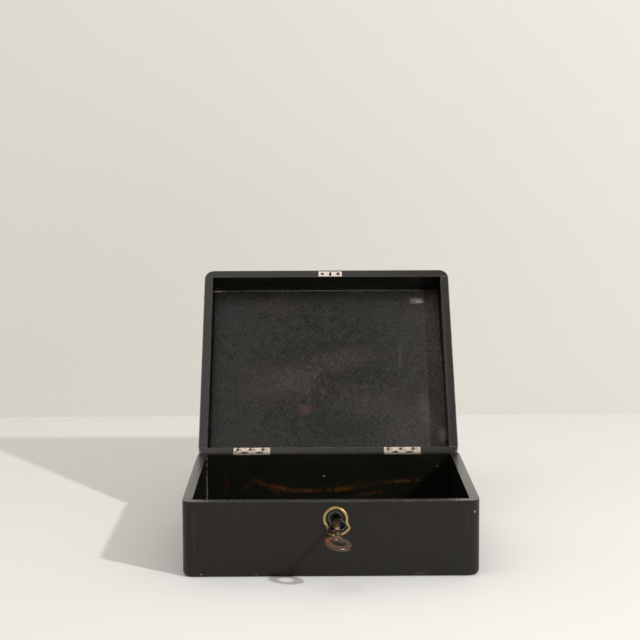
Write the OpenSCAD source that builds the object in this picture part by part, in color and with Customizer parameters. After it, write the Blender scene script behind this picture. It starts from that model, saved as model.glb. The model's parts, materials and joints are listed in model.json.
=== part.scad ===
// A small lacquered wooden deed box, standing open, with its key in the lock.
// Millimetres, +Z up. The origin is the middle of the underside, the front faces -Y.
// The lid is drawn shut and then swung back to the angle at which it rests.

/* [Box] */
// Outer width of the box, left to right
box_w = 270; // [220:1:340]
// Outer depth of the box, front to back
box_d = 234; // [200:1:300]
// Height of the base, up to its rim
base_h = 70; // [64:1:120]
// Thickness of every wall
wall = 9; // [8:0.5:11]
// Thickness of the bottom board
floor_t = 7; // [4:0.5:10]
// Radius of the upright outer corners, seen from above
corner_r = 10.5; // [9.5:0.5:14]
// Radius of the long soft edges under the base and on top of the lid
edge_r = 4.5; // [2:0.5:6]

/* [Lid] */
// Depth of the lid's hollow, from its rim to the lining
lid_hollow = 24.5; // [20:0.5:40]
// Thickness of the lid's top board
lid_top_t = 7; // [6:0.5:10]
// Thickness of the lining board inside the lid
lining_t = 1.5; // [1:0.1:3]
// Gap between the two rims when the lid is shut
rim_gap = 0.4; // [0.2:0.1:1]
// How far the lid is swung back in the pose that is drawn
lid_open = 130; // [0:1:130]

/* [Hinges] */
// Length of each butt hinge
hinge_len = 38; // [30:1:45]
// Middle of the left hinge
hinge_left_x = -79.4; // [-90:0.1:-50]
// Middle of the right hinge
hinge_right_x = 76.6; // [50:0.1:90]
// Distance from the hinge axis to the outer back face
axis_inset = 3; // [2.5:0.1:3.5]
// Thickness of the hinge leaves
leaf_t = 1.1; // [0.8:0.1:1.3]
// Outer radius of the knuckles
knuckle_r = 1.9; // [1.7:0.1:2.1]
// Radius of the hinge pin
hinge_pin_r = 0.8; // [0.6:0.05:0.9]
// Distance between the screws of one leaf
leaf_screw_pitch = 13; // [10:0.5:14]

/* [Lock] */
// Middle of the lock, right of the middle of the box
lock_x = 4; // [-10:0.5:10]
// Height of the middle of the keyhole
lock_z = 53.7; // [50:0.1:54]
// Middle line of the raised brass border around the keyhole, round part
border_r = 10.1; // [9.5:0.1:11]
// Half the width of that border
border_half = 1.6; // [1.2:0.1:1.8]
// How far the keyhole leans to the right of straight down
keyhole_lean = 14.4; // [0:0.1:20]
// Length of the plate on the rim that the bolt comes out of
selvage_len = 52; // [48:1:56]
// How far the bolt rises when the key is turned
bolt_travel = 6.5; // [5:0.5:6.5]

/* [Key] */
// Radius of the key's shank
shank_r = 2.8; // [2.5:0.1:2.9]
// Distance from the foot of the lock's pin to the middle of the key's ring
key_reach = 58.6; // [56:0.1:62]
// Radius of the middle line of the key's ring
bow_r = 9.4; // [9:0.1:10.5]
// Half the thickness of the key's flattened ring
bow_half = 2.1; // [1.8:0.1:2.4]
// Half the breadth of the band that the ring is made of
bow_broad = 3.5; // [2.6:0.1:3.8]
// How far the ring sits off the shank's own line
bow_shift = 0.8; // [0:0.1:1]
// How far the loose key hangs below level
key_droop = 11.4; // [0:0.1:11.4]
// How far the plane in which the key hangs leans to the right
droop_lean = 12.5; // [0:0.1:14.5]
// How far the key is turned from level, its right side down
key_roll = 10.4; // [0:0.1:15]

/* [Hidden] */
$fn = 48;

// Overshoot of a cut past the face that it opens
eps = 1;
// Colours
lacquer = "#2f2d2a";
panel_grey = "#3a3936";
nickel = "#cbbfb0";
silver_plate = "#d9d2c8";
brass_yellow = "#b08d4a";
old_steel = "#5a5148";
key_brown = "#6e4a3b";

// Inner faces of the walls
inner_x = box_w / 2 - wall;
inner_y = box_d / 2 - wall;
front_y = -box_d / 2;

// Levels of the shut lid
lid_z = base_h + rim_gap;
lining_z = lid_z + lid_hollow;
lid_top_z = lining_z + lining_t;

// The hinge axis runs along X, just inside the back face, between the two rims
axis_y = box_d / 2 - axis_inset;
axis_z = base_h + rim_gap / 2;
// Slope of the chamfer behind the axis on both rims: together they stop the lid
stop_slope = 66;
// Each hinge has five knuckles with a small gap between neighbours
knuckles = 5;
knuckle_gap = 0.25;
knuckle_len = (hinge_len - (knuckles - 1) * knuckle_gap) / knuckles;
knuckle_room = 0.4;
hinge_pin_play = 0.05;

// Countersunk screws of the hinges and of the strike plate
screw_head_r = 1.75;
screw_head_t = 0.9;
screw_r = 0.9;
screw_len = 7;

// Lock, let into the inner side of the front wall
case_half = 24;
case_front_y = front_y + 2.6;
case_bottom_z = base_h - 33;
sheet = 1;
selvage_t = 1.2;
back_plate_t = 1.2;
back_plate_half = 30;
back_plate_y = -inner_y;
pin_y = back_plate_y + back_plate_t / 2;
inner_front_y = case_front_y + sheet;
plate_hole_r = 5.6;
plate_hole_reach = 12;

// Bolt: a thin tongue on a wider foot, with a lug that the key lifts
bolt_y = front_y + 5.5;
tongue_w = 1.8;
tongue_d = 3.4;
tongue_top = base_h - 0.4;
foot_bottom = lock_z + 3.5;
foot_top = foot_bottom + 4.5;
slot_w = 2.4;
slot_d = 4.2;

// Strike plate in the lid's front rim, with a narrow notch from its slot to the lid's face
strike_len = 26;
strike_w = 6.7;
strike_t = 1.2;
strike_y = front_y + 5;
strike_hole_x = 8.7;
notch_w = 1.2;
notch_t = 1.6;

// The loose pin in the lock, and the hollow key that turns on it
pin_r = 1.5;
pin_ball_r = 2;
pin_len = 11;
pin_play = 0.05;
barrel_start = 2;
bit_len = 9;
bit_t = 1.8;
bit_w = 2.4;
ring_top = key_reach - bow_r;
// The key's turned parts, from its mouth to the ring: where each ends, and its radius.
// They are the shank, the round collar in three steps, the neck, a small bead and the end under the ring
turnings = [
    [27.3, shank_r], [28, 2.9], [32, 3.2], [32.7, 2.9],
    [38.5, 2.4], [41.5, 2.9], [ring_top, 2.6]
];

// Outline of the rounded body in one direction: a rectangle with two soft lower corners
module soft_section(w, h, r) {
    translate([-w / 2, r]) square([w, h - r]);
    translate([-w / 2 + r, 0]) square([w - 2 * r, h]);
    for (s = [-1, 1])
        translate([s * (w / 2 - r), r]) circle(r);
}

// Half of that outline at an upright corner, for turning round it
module soft_corner_section(h, r) {
    translate([0, r]) square([corner_r, h - r]);
    square([corner_r - r, h]);
    translate([corner_r - r, r]) circle(r);
}

// A block of the box's outer size, with round upright corners and a soft lower edge
module soft_block(h, r) {
    run_x = box_w - 2 * corner_r;
    run_y = box_d - 2 * corner_r;
    translate([-run_x / 2, 0, 0])
        rotate([90, 0, 90]) linear_extrude(run_x) soft_section(box_d, h, r);
    translate([0, run_y / 2, 0])
        rotate([90, 0, 0]) linear_extrude(run_y) soft_section(box_w, h, r);
    for (sx = [-1, 1], sy = [-1, 1])
        translate([sx * run_x / 2, sy * run_y / 2, 0])
            rotate_extrude() soft_corner_section(h, r);
}

// A box given by its lower and upper limits
module span(x, y, z) {
    translate([x[0], y[0], z[0]]) cube([x[1] - x[0], y[1] - y[0], z[1] - z[0]]);
}

// Room for one wall: the front and back walls run the full width, the side walls stand between
module front_room(z) { span([-box_w, box_w], [-box_d, -inner_y], z); }
module back_room(z) { span([-box_w, box_w], [inner_y, box_d], z); }
module side_room(z, sx) {
    mirror([sx < 0 ? 1 : 0, 0, 0]) span([inner_x, box_w], [-inner_y, inner_y], z);
}

// Swings what is drawn in the shut pose back to the open one
module open_lid() {
    translate([0, axis_y, axis_z]) rotate([-lid_open, 0, 0])
        translate([0, -axis_y, -axis_z]) children();
}

// Turns the base's fittings at the back over, to make the lid's
module to_lid_side() {
    translate([0, 0, axis_z]) mirror([0, 0, 1]) translate([0, 0, -axis_z]) children();
}

// Hinges

// What is cut from the back rim: the chamfer behind the axis and the beds of both hinges
module back_rim_cuts() {
    translate([-box_w, axis_y, base_h]) rotate([-stop_slope, 0, 0])
        cube([2 * box_w, 6 * axis_inset, 4 * axis_inset]);
    for (x = [hinge_left_x, hinge_right_x]) {
        span([x - hinge_len / 2, x + hinge_len / 2], [inner_y - eps, axis_y], [base_h - leaf_t, base_h + eps]);
        translate([x - hinge_len / 2 - 0.3, axis_y, axis_z])
            rotate([0, 90, 0]) cylinder(r = knuckle_r + knuckle_room, h = hinge_len + 0.6);
        leaf_screw_places(x) pilot_hole();
    }
}

// A screw points down from the rim's surface
module leaf_screw_places(x) {
    for (i = [-1, 0, 1])
        translate([x + i * leaf_screw_pitch, (inner_y + axis_y - knuckle_r) / 2 + 0.1, base_h]) children();
}

module pilot_hole() {
    translate([0, 0, -screw_len]) cylinder(r = screw_r, h = screw_len);
}

module countersink(r, head_r, head_t) {
    translate([0, 0, -head_t]) cylinder(r1 = r, r2 = head_r, h = head_t);
}

module wood_screw(r, head_r, head_t, len) {
    difference() {
        union() {
            countersink(r, head_r, head_t);
            translate([0, 0, -len]) cylinder(r = r, h = len - head_t);
        }
        span([-head_r, head_r], [-0.25, 0.25], [-0.35, 1]);
    }
}

// Knuckles number 0, 2 and 4 belong to the lid, 1 and 3 to the base
function knuckle_x(i) = -hinge_len / 2 + i * (knuckle_len + knuckle_gap);

module leaf(x, own, other, bore_r) {
    difference() {
        union() {
            span([x - hinge_len / 2, x + hinge_len / 2], [inner_y, axis_y], [base_h - leaf_t, base_h]);
            for (i = own)
                translate([x + knuckle_x(i), axis_y, axis_z])
                    rotate([0, 90, 0]) cylinder(r = knuckle_r, h = knuckle_len);
        }
        for (i = other)
            translate([x + knuckle_x(i) - knuckle_gap, axis_y, axis_z])
                rotate([0, 90, 0]) cylinder(r = knuckle_r + knuckle_room, h = knuckle_len + 2 * knuckle_gap);
        translate([x - hinge_len, axis_y, axis_z])
            rotate([0, 90, 0]) cylinder(r = bore_r, h = 2 * hinge_len);
        leaf_screw_places(x) {
            pilot_hole();
            countersink(screw_r, screw_head_r, screw_head_t);
        }
    }
}

module base_leaf(x) { color(nickel) leaf(x, [1, 3], [0, 2, 4], hinge_pin_r); }

module lid_leaf(x) {
    color(nickel) open_lid() to_lid_side() leaf(x, [0, 2, 4], [1, 3], hinge_pin_r + hinge_pin_play);
}

module hinge_pin(x) {
    color(nickel) translate([x - hinge_len / 2 - 0.1, axis_y, axis_z])
        rotate([0, 90, 0]) cylinder(r = hinge_pin_r, h = hinge_len + 0.2);
}

module leaf_screws(x) {
    leaf_screw_places(x) wood_screw(screw_r, screw_head_r, screw_head_t, screw_len);
}

module base_screws(x) { color(nickel) leaf_screws(x); }
module lid_screws(x) { color(nickel) open_lid() to_lid_side() leaf_screws(x); }

// Keyhole

// Turns from the face's own plane, in which the keyhole hangs straight down, to the front wall
module on_front() {
    translate([lock_x, front_y, lock_z]) rotate([90, 0, 0]) rotate(keyhole_lean) children();
}

// The middle line of the border leaves the round head and runs out to a corner of the fan
fan_start_angle = 59.6;
fan_corner_angle = 43;
fan_r = border_r + 4.9;
function fan_point(r, a) = [r * sin(a), -r * cos(a)];
side_start = fan_point(border_r, fan_start_angle);
side_run = fan_point(fan_r, fan_corner_angle) - side_start;
side_out = [-side_run.y, side_run.x] / norm(side_run);

// A point along the fan's right side, moved outwards by shift
function side_point(t, shift) = side_start + t * side_run + shift * side_out;

// A keyhole: a round head, and a flared slot under it that ends in an arc about the same middle
module keyhole_outline(head_r, reach, shift) {
    right = [side_point(0, shift), side_point(3, shift)];
    circle(head_r);
    intersection() {
        circle(reach);
        polygon([[0, 0], right[0], right[1], [-right[1].x, right[1].y], [-right[0].x, right[0].y]]);
    }
}

module border_outline(shift) { keyhole_outline(border_r + shift, fan_r + shift, shift); }

module keyhole_cut(y0, y1) {
    translate([0, y1 - front_y, 0]) on_front() linear_extrude(y1 - y0) children();
}

// The brass border is a raised bead, broad at its foot and narrower on top
module border_band(half, h) {
    linear_extrude(h) difference() {
        border_outline(half);
        border_outline(-half);
    }
}

module keyhole_border() {
    color(brass_yellow) on_front() {
        border_band(border_half, 0.9 * border_half / 1.6);
        border_band(0.65 * border_half, border_half);
    }
}

// Lock

module lock_bed() {
    span([lock_x - case_half, lock_x + case_half], [case_front_y, eps - inner_y], [case_bottom_z, base_h + eps]);
    span([lock_x - selvage_len / 2, lock_x + selvage_len / 2], [case_front_y, eps - inner_y],
        [base_h - selvage_t, base_h + eps]);
    lock_screw_places() pilot_hole();
}

// The lock's screws go in from the inside, at the ends of its back plate
module lock_screw_places() {
    for (sx = [-1, 1], z = [case_bottom_z + 4, base_h - 8])
        translate([lock_x + sx * (back_plate_half - 3), back_plate_y + back_plate_t, z])
            rotate([-90, 0, 0]) children();
}

module lock_case() {
    color(old_steel) difference() {
        span([lock_x - case_half, lock_x + case_half], [case_front_y, back_plate_y],
            [case_bottom_z, base_h - selvage_t]);
        span([lock_x - case_half + sheet, lock_x + case_half - sheet], [inner_front_y, back_plate_y + eps],
            [case_bottom_z + sheet, base_h]);
        keyhole_cut(case_front_y - eps, inner_front_y + eps) keyhole_outline(plate_hole_r, plate_hole_reach, -2.2);
    }
}

module lock_back_plate() {
    color(old_steel) difference() {
        span([lock_x - back_plate_half, lock_x + back_plate_half], [back_plate_y, back_plate_y + back_plate_t],
            [case_bottom_z - 1, base_h - selvage_t]);
        translate([lock_x, back_plate_y - eps, lock_z])
            rotate([-90, 0, 0]) cylinder(r = pin_ball_r + pin_play, h = back_plate_t + 2 * eps);
        lock_screw_places() {
            pilot_hole();
            countersink(screw_r, screw_head_r, screw_head_t);
        }
    }
}

module lock_selvage() {
    color(old_steel) difference() {
        span([lock_x - selvage_len / 2, lock_x + selvage_len / 2],
            [case_front_y, back_plate_y], [base_h - selvage_t, base_h]);
        span([lock_x - slot_w / 2, lock_x + slot_w / 2], [bolt_y - slot_d / 2, bolt_y + slot_d / 2],
            [base_h - 2 * selvage_t, base_h + eps]);
    }
}

module lock_screws() {
    color(old_steel) lock_screw_places() wood_screw(screw_r, screw_head_r, screw_head_t, screw_len);
}

module lock_bolt() {
    color(old_steel) {
        span([lock_x - tongue_w / 2, lock_x + tongue_w / 2], [bolt_y - tongue_d / 2, bolt_y + tongue_d / 2],
            [foot_top, tongue_top]);
        span([lock_x - 7, lock_x + 9], [bolt_y - tongue_d / 2, bolt_y + tongue_d / 2], [foot_bottom, foot_top]);
        span([lock_x + 3.8, lock_x + 4.8], [bolt_y, bolt_y + tongue_d / 2], [lock_z + 0.6, foot_bottom]);
    }
}

// Takes what is drawn about the Z axis, starting at the pin's foot, to the loose hanging pin
module on_pin() {
    translate([lock_x, pin_y, lock_z]) rotate([0, -droop_lean, 0])
        rotate([key_droop, 0, 0]) rotate([90, 0, 0]) children();
}

module lock_pin() {
    color(old_steel) on_pin() {
        sphere(pin_ball_r);
        cylinder(r = pin_r, h = pin_len);
    }
}

// The band of the key's ring, cut across: flat with round edges
module bow_section() {
    flat = bow_broad - bow_half;
    translate([-flat, -bow_half]) square([2 * flat, 2 * bow_half]);
    for (s = [-1, 1])
        translate([s * flat, 0]) circle(bow_half);
}

// Key: a hollow shank with a collar, a bit to one side and a round ring
module key() {
    color(key_brown) on_pin() rotate(-droop_lean - key_roll) difference() {
        union() {
            for (i = [0 : len(turnings) - 1]) {
                start = i == 0 ? barrel_start : turnings[i - 1][0];
                translate([0, 0, start]) cylinder(r = turnings[i][1], h = turnings[i][0] - start);
            }
            translate([-bow_shift, 0, key_reach]) rotate([90, 0, 0])
                rotate_extrude() translate([bow_r, 0]) bow_section();
            span([0, bit_len], [-bit_t / 2, bit_t / 2], [barrel_start, barrel_start + bit_w]);
        }
        translate([0, 0, -eps]) cylinder(r = pin_r + pin_play, h = pin_len + 3);
    }
}

// Base

module base_front() {
    color(lacquer) difference() {
        intersection() {
            soft_block(base_h, edge_r);
            front_room([0, base_h]);
        }
        keyhole_cut(front_y - eps, case_front_y + eps) border_outline(-border_half);
        lock_bed();
    }
}

module base_back() {
    color(lacquer) difference() {
        intersection() {
            soft_block(base_h, edge_r);
            back_room([0, base_h]);
        }
        back_rim_cuts();
    }
}

module base_side(sx) {
    color(lacquer) intersection() {
        soft_block(base_h, edge_r);
        side_room([0, base_h], sx);
    }
}

module base_floor() {
    color(lacquer) span([-inner_x, inner_x], [-inner_y, inner_y], [0, floor_t]);
}

// Lid, drawn shut

module lid_block() {
    translate([0, 0, lid_top_z + lid_top_t]) mirror([0, 0, 1])
        soft_block(lid_top_z + lid_top_t - lid_z, edge_r);
}

module lid_front() {
    color(lacquer) open_lid() difference() {
        intersection() {
            lid_block();
            front_room([lid_z, lid_top_z]);
        }
        span([lock_x - strike_len / 2, lock_x + strike_len / 2],
            [strike_y - strike_w / 2, strike_y + strike_w / 2], [lid_z - eps, lid_z + strike_t]);
        span([lock_x - slot_w / 2, lock_x + slot_w / 2], [bolt_y - slot_d / 2, bolt_y + slot_d / 2],
            [lid_z - eps, lid_z + bolt_travel + 1]);
        strike_notch();
        strike_screw_places() pilot_hole();
    }
}

module lid_back() {
    color(lacquer) open_lid() difference() {
        intersection() {
            lid_block();
            back_room([lid_z, lid_top_z]);
        }
        to_lid_side() back_rim_cuts();
    }
}

module lid_side(sx) {
    color(lacquer) open_lid() intersection() {
        lid_block();
        side_room([lid_z, lid_top_z], sx);
    }
}

module lid_top() {
    color(lacquer) open_lid() intersection() {
        lid_block();
        span([-box_w, box_w], [-box_d, box_d], [lid_top_z, lid_top_z + lid_top_t]);
    }
}

module lid_lining() {
    color(panel_grey) open_lid() span([-inner_x, inner_x], [-inner_y, inner_y], [lining_z, lid_top_z]);
}

module strike_notch() {
    span([lock_x - notch_w / 2, lock_x + notch_w / 2], [front_y - eps, bolt_y], [lid_z - eps, lid_z + notch_t]);
}

// The strike plate's screws point up into the shut lid
module strike_screw_places() {
    for (s = [-1, 1])
        translate([lock_x + s * strike_hole_x, strike_y, lid_z]) mirror([0, 0, 1]) children();
}

module strike_plate() {
    color(silver_plate) open_lid() difference() {
        span([lock_x - strike_len / 2, lock_x + strike_len / 2],
            [strike_y - strike_w / 2, strike_y + strike_w / 2], [lid_z, lid_z + strike_t]);
        span([lock_x - slot_w / 2, lock_x + slot_w / 2], [bolt_y - slot_d / 2, bolt_y + slot_d / 2],
            [lid_z - eps, lid_z + 2 * strike_t]);
        strike_notch();
        strike_screw_places() {
            pilot_hole();
            countersink(screw_r, screw_head_r, screw_head_t);
        }
    }
}

module strike_screws() {
    color(old_steel) open_lid() strike_screw_places()
        wood_screw(screw_r, screw_head_r, screw_head_t, screw_len);
}

base_front();
base_back();
base_side(-1);  // base_left
base_side(1);  // base_right
base_floor();
lid_front();
lid_back();
lid_side(-1);  // lid_left
lid_side(1);  // lid_right
lid_top();
lid_lining();
base_leaf(hinge_left_x);  // hinge_left_base_leaf
lid_leaf(hinge_left_x);  // hinge_left_lid_leaf
hinge_pin(hinge_left_x);  // hinge_left_pin
base_screws(hinge_left_x);  // hinge_left_base_screws
lid_screws(hinge_left_x);  // hinge_left_lid_screws
base_leaf(hinge_right_x);  // hinge_right_base_leaf
lid_leaf(hinge_right_x);  // hinge_right_lid_leaf
hinge_pin(hinge_right_x);  // hinge_right_pin
base_screws(hinge_right_x);  // hinge_right_base_screws
lid_screws(hinge_right_x);  // hinge_right_lid_screws
strike_plate();
strike_screws();
keyhole_border();
lock_case();
lock_back_plate();
lock_selvage();
lock_screws();
lock_bolt();
lock_pin();
key();
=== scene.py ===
"""Looks and stage of a small black lacquered deed box, open, with its key in the lock.

It is laid out as an add-on and run as a script. Metres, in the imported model's own frame:
the origin is the middle of the box's underside and the front faces -Y.
"""
import json
import math

import bmesh
import bpy
from mathutils import Matrix, Vector, noise

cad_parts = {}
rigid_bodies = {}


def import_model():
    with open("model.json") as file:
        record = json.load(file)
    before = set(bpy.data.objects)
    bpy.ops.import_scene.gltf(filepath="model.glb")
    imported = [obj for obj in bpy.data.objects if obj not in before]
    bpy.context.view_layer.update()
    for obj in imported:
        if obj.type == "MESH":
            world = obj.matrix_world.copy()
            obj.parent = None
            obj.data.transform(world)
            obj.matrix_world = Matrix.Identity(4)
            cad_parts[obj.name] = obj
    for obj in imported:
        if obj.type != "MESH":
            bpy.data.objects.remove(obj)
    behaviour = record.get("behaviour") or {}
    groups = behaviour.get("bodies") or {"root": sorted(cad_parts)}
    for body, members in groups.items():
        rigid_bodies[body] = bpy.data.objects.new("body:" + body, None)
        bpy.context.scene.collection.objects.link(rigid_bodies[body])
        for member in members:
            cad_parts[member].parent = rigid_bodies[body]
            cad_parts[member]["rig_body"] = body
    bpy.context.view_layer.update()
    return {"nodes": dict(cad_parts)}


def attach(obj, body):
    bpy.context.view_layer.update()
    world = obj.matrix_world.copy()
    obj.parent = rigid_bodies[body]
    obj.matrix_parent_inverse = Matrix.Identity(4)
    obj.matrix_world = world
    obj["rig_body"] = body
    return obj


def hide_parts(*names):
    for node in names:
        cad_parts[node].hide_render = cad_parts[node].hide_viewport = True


bl_info = {
    "name": "Deed box",
    "version": (1, 0, 0),
    "blender": (4, 5, 0),
    "location": "View3D > Sidebar > Deed box",
    "description": "Dresses the packed deed box and sets its stage",
    "category": "Object",
}

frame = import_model()
MM = 0.001

# Places that the part's source gives, in millimetres
HALF_W, HALF_D, RIM_Z = 135.0, 117.0, 70.0
INNER_X, INNER_Y = 126.0, 108.0
CORNER_R = 10.5
LID_RIM_Z, LINING_Z, LID_TOP_Z = 70.4, 94.9, 96.4
HINGE_AXIS = Vector((0, 114, 70.2)) * MM
HINGE_MIDDLES = (-79.4, 76.6)
LID_OPEN = 130.0
LOCK = Vector((4, -117, 53.7))
KEYHOLE_LEAN = 14.4
KEY_FOOT = Vector((4, -107.4, 53.7))
KEY_LEAN, KEY_DROOP, KEY_ROLL = 12.5, 11.4, 10.4

# How close two places are, in millimetres, to count as the same one
TOUCH = 0.02
# The turn of a mark that isn't turned
LEVEL = (0, 0, 0)
# Sockets of the Mix node that its names don't tell apart
FACTOR, VALUE_A, VALUE_B, COLOUR_A, COLOUR_B = 0, 2, 3, 6, 7
MIXED_COLOUR = 2

# Lacquer on the outside of base and lid, in the terms of lacquer_finish
OUTSIDE = {
    "gloss": (0.35, 0.44),
    "level": 0.27,
    "ripple": (4, 0.012),
    "brush": (40, 40, 0.8),
    "wear": 0.1,
}

# Takes a point of the open lid back to the shut pose, and the other way
TO_SHUT = (
    Matrix.Translation(HINGE_AXIS)
    @ Matrix.Rotation(math.radians(LID_OPEN), 4, "X")
    @ Matrix.Translation(-HINGE_AXIS)
)
TO_OPEN = TO_SHUT.inverted()


def linear(hex_colour):
    """An sRGB hex colour as the linear values that Blender works in."""
    parts = [int(hex_colour[i : i + 2], 16) / 255 for i in (1, 3, 5)]
    return tuple(
        c / 12.92 if c <= 0.04045 else ((c + 0.055) / 1.055) ** 2.4 for c in parts
    )


def colour(name, description, hex_colour):
    """A colour property with that default."""
    return bpy.props.FloatVectorProperty(
        name=name,
        description=description,
        subtype="COLOR",
        size=3,
        min=0,
        max=1,
        default=linear(hex_colour),
    )


def length(name, description, millimetres):
    """A length property with that default."""
    return bpy.props.FloatProperty(
        name=name,
        description=description,
        subtype="DISTANCE",
        unit="LENGTH",
        min=0,
        default=millimetres * MM,
    )


def power(name, description, watts):
    """A lamp's power with that default."""
    return bpy.props.FloatProperty(
        name=name, description=description, unit="POWER", min=0, default=watts
    )


class DeedBoxWood(bpy.types.PropertyGroup):
    """Colours of the lacquered walls and of the lid's lining, and the rims' rounding."""

    lacquer: colour("Lacquer", "Black lacquer on the outside, warm with age", "#1c1713")
    rim: colour("Rim", "Black lacquer on the rims", "#1f1a16")
    inside: colour("Inside", "Black lacquer inside the box and the lid", "#12120d")
    bare_wood: colour("Bare wood", "Brown wood where the lacquer is worn off", "#6b4330")
    # Orange brown of the streaks painted on the base's inner back wall
    stain: colour("Stain", "Orange brown stain inside the base", "#5c3410")
    # The pale dust colour also serves for painted sheen and painted highlights on the lid's lining
    # and rim
    dust_and_sheen: colour("Scuffs", "Pale scuffs and nicks", "#a39a90")
    lining: colour("Lining", "Grained leather cloth inside the lid", "#1f1d18")
    # Painted sheen: this mauve grey mostly stands in for light reflected by the waxed lining
    bloom_and_sheen: colour("Bloom", "Greyish mauve bloom on the lining", "#3a3131")
    # Painted highlight as well as rubbing: this grey on the lid rim's rounded edges stands in for
    # light on the rounding
    rubbed: colour("Rubbed rim", "Greyish edges of the lid's rim", "#857b72")
    rim_round: length("Rim rounding", "Radius of the rims' worn edges", 0.8)


class DeedBoxMetal(bpy.types.PropertyGroup):
    """Sizes and colours of the fittings and of the key."""

    nickel: colour("Nickel", "Worn nickel plate of the hinges", "#dacdbd")
    silver: colour("Plate", "Bright plate on the lid's rim", "#eee5da")
    dirt: colour("Dirt", "Brown dirt around screws and in corners", "#3a2c22")
    screw: colour("Strike screws", "Dirty brass of the strike plate's screws", "#6e5847")
    warm_silver: colour("Stained plate", "Pinkish stain on the bright plate", "#c4aea2")
    brass: colour("Brass", "Tarnished brass of the keyhole border", "#cdb078")
    steel: colour("Steel", "Blued old steel of the lock", "#343a3a")
    # Painted highlight as well as rubbing: the bright colour on the lock's rounded edges
    rubbed_and_highlit_steel: colour("Worn steel", "Bright steel on the lock's rubbed edges", "#c3c6c9")
    key_brown: colour("Key", "Browned iron of the key", "#67544a")
    copper: colour("Key rust", "Coppery brown patches on the key", "#7f4a33")
    collar: colour("Key collar", "Rubbed beige metal of the key's collar", "#b89c82")
    bead_radius: length("Bead radius", "Radius of the half-round keyhole border", 1.5)
    leaf_round: length("Leaf rounding", "Radius of the edges of leaves and plates", 0.18)
    hole_round: length("Keyhole rounding", "Radius of the lock's rubbed keyhole edge", 0.45)


class DeedBoxStage(bpy.types.PropertyGroup):
    """Colours of the stage, the wall's distance and the strengths of the lights."""

    floor: colour("Floor", "Pale matt floor", "#f0efeb")
    backdrop: colour("Backdrop", "Warm grey wall behind the floor", "#e4e1db")
    wall_y: length("Backdrop distance", "From the middle of the box to the wall", 750)
    key_watts: power("Key lamp", "Power of the small lamp at the right", 50)
    soft_watts: power("Soft lamp", "Power of the broad lamp overhead", 7.4)
    sky: bpy.props.FloatProperty(
        name="Sky", description="Strength of the even light from all round", min=0, default=0.5
    )
    sky_tint: colour("Sky tint", "Warm tint of the light from all round", "#fffbf8")


def add(tree, kind, inputs=None, **settings):
    """Adds a shader node. Its inputs take a value or another node's output."""
    node = tree.nodes.new("ShaderNode" + kind)
    for name, value in settings.items():
        setattr(node, name, value)
    for name, value in (inputs or {}).items():
        socket = node.inputs[name]
        if isinstance(value, bpy.types.NodeSocket):
            tree.links.new(value, socket)
        else:
            socket.default_value = value
    return node


def start_finish(name, shader_inputs):
    """A new material: its tree, its shader and its Object coordinates."""
    material = bpy.data.materials.new(name)
    material.use_nodes = True
    tree = material.node_tree
    tree.nodes.clear()
    shader = add(tree, "BsdfPrincipled", shader_inputs)
    add(tree, "OutputMaterial", {"Surface": shader.outputs[0]})
    return material, tree, shader, add(tree, "TexCoord").outputs["Object"]


def rgba(three):
    """The colour with a full alpha, as a socket takes it."""
    return (*three, 1.0)


def scaled(three, *factors):
    """The colour times one factor, or times one for each channel."""
    factors = factors if len(factors) == 3 else factors * 3
    return rgba(c * f for c, f in zip(three, factors))


def shut_place(tree, place):
    """The same point with the lid shut, so that one pattern fits both halves of the box."""
    turn = math.radians(LID_OPEN)
    return add(
        tree,
        "Mapping",
        {"Vector": place, "Location": TO_SHUT.translation, "Rotation": (turn, 0, 0)},
    ).outputs[0]


def marks(tree, place, ragged, spots, soft=0.25):
    """A mask of marks, each a flattened ball: its centre, half sizes (mm) and turn (degrees)."""
    mask = None
    for centre, radii, turn in spots:
        local = add(
            tree,
            "Mapping",
            {
                "Vector": place,
                "Location": Vector(centre) * MM,
                "Rotation": [math.radians(a) for a in turn],
                "Scale": Vector(radii) * MM,
            },
            vector_type="TEXTURE",
        ).outputs[0]
        distance = add(tree, "VectorMath", {0: local}, operation="LENGTH").outputs["Value"]
        frayed = add(tree, "Math", {0: distance, 1: ragged}, operation="ADD").outputs[0]
        spot = add(
            tree,
            "MapRange",
            {"Value": frayed, "From Min": 1 + soft, "From Max": 1 - soft},
            interpolation_type="SMOOTHSTEP",
        ).outputs[0]
        if mask is None:
            mask = spot
        else:
            mask = add(tree, "Math", {0: mask, 1: spot}, operation="MAXIMUM").outputs[0]
    return mask


def ragged_edge(tree, place, size_mm, amount):
    """Noise about zero that frays the outline of a mark."""
    grit = add(
        tree, "TexNoise", {"Vector": place, "Scale": 1 / (size_mm * MM), "Detail": 3}
    ).outputs["Fac"]
    return add(
        tree,
        "MapRange",
        {"Value": grit, "From Min": 0.3, "From Max": 0.7, "To Min": -amount, "To Max": amount},
    ).outputs[0]


def stain(tree, place, ragged, base, stains):
    """Lays coloured marks over a base colour.

    Each entry is a colour, its strength, its softness and its spots, as marks takes them.
    """
    for tint, strength, soft, spots in stains:
        mask = marks(tree, place, ragged, spots, soft)
        mask = add(tree, "Math", {0: mask, 1: strength}, operation="MULTIPLY").outputs[0]
        base = add(
            tree,
            "Mix",
            {FACTOR: mask, COLOUR_A: base, COLOUR_B: rgba(tint)},
            data_type="RGBA",
        ).outputs[MIXED_COLOUR]
    return base


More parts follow.
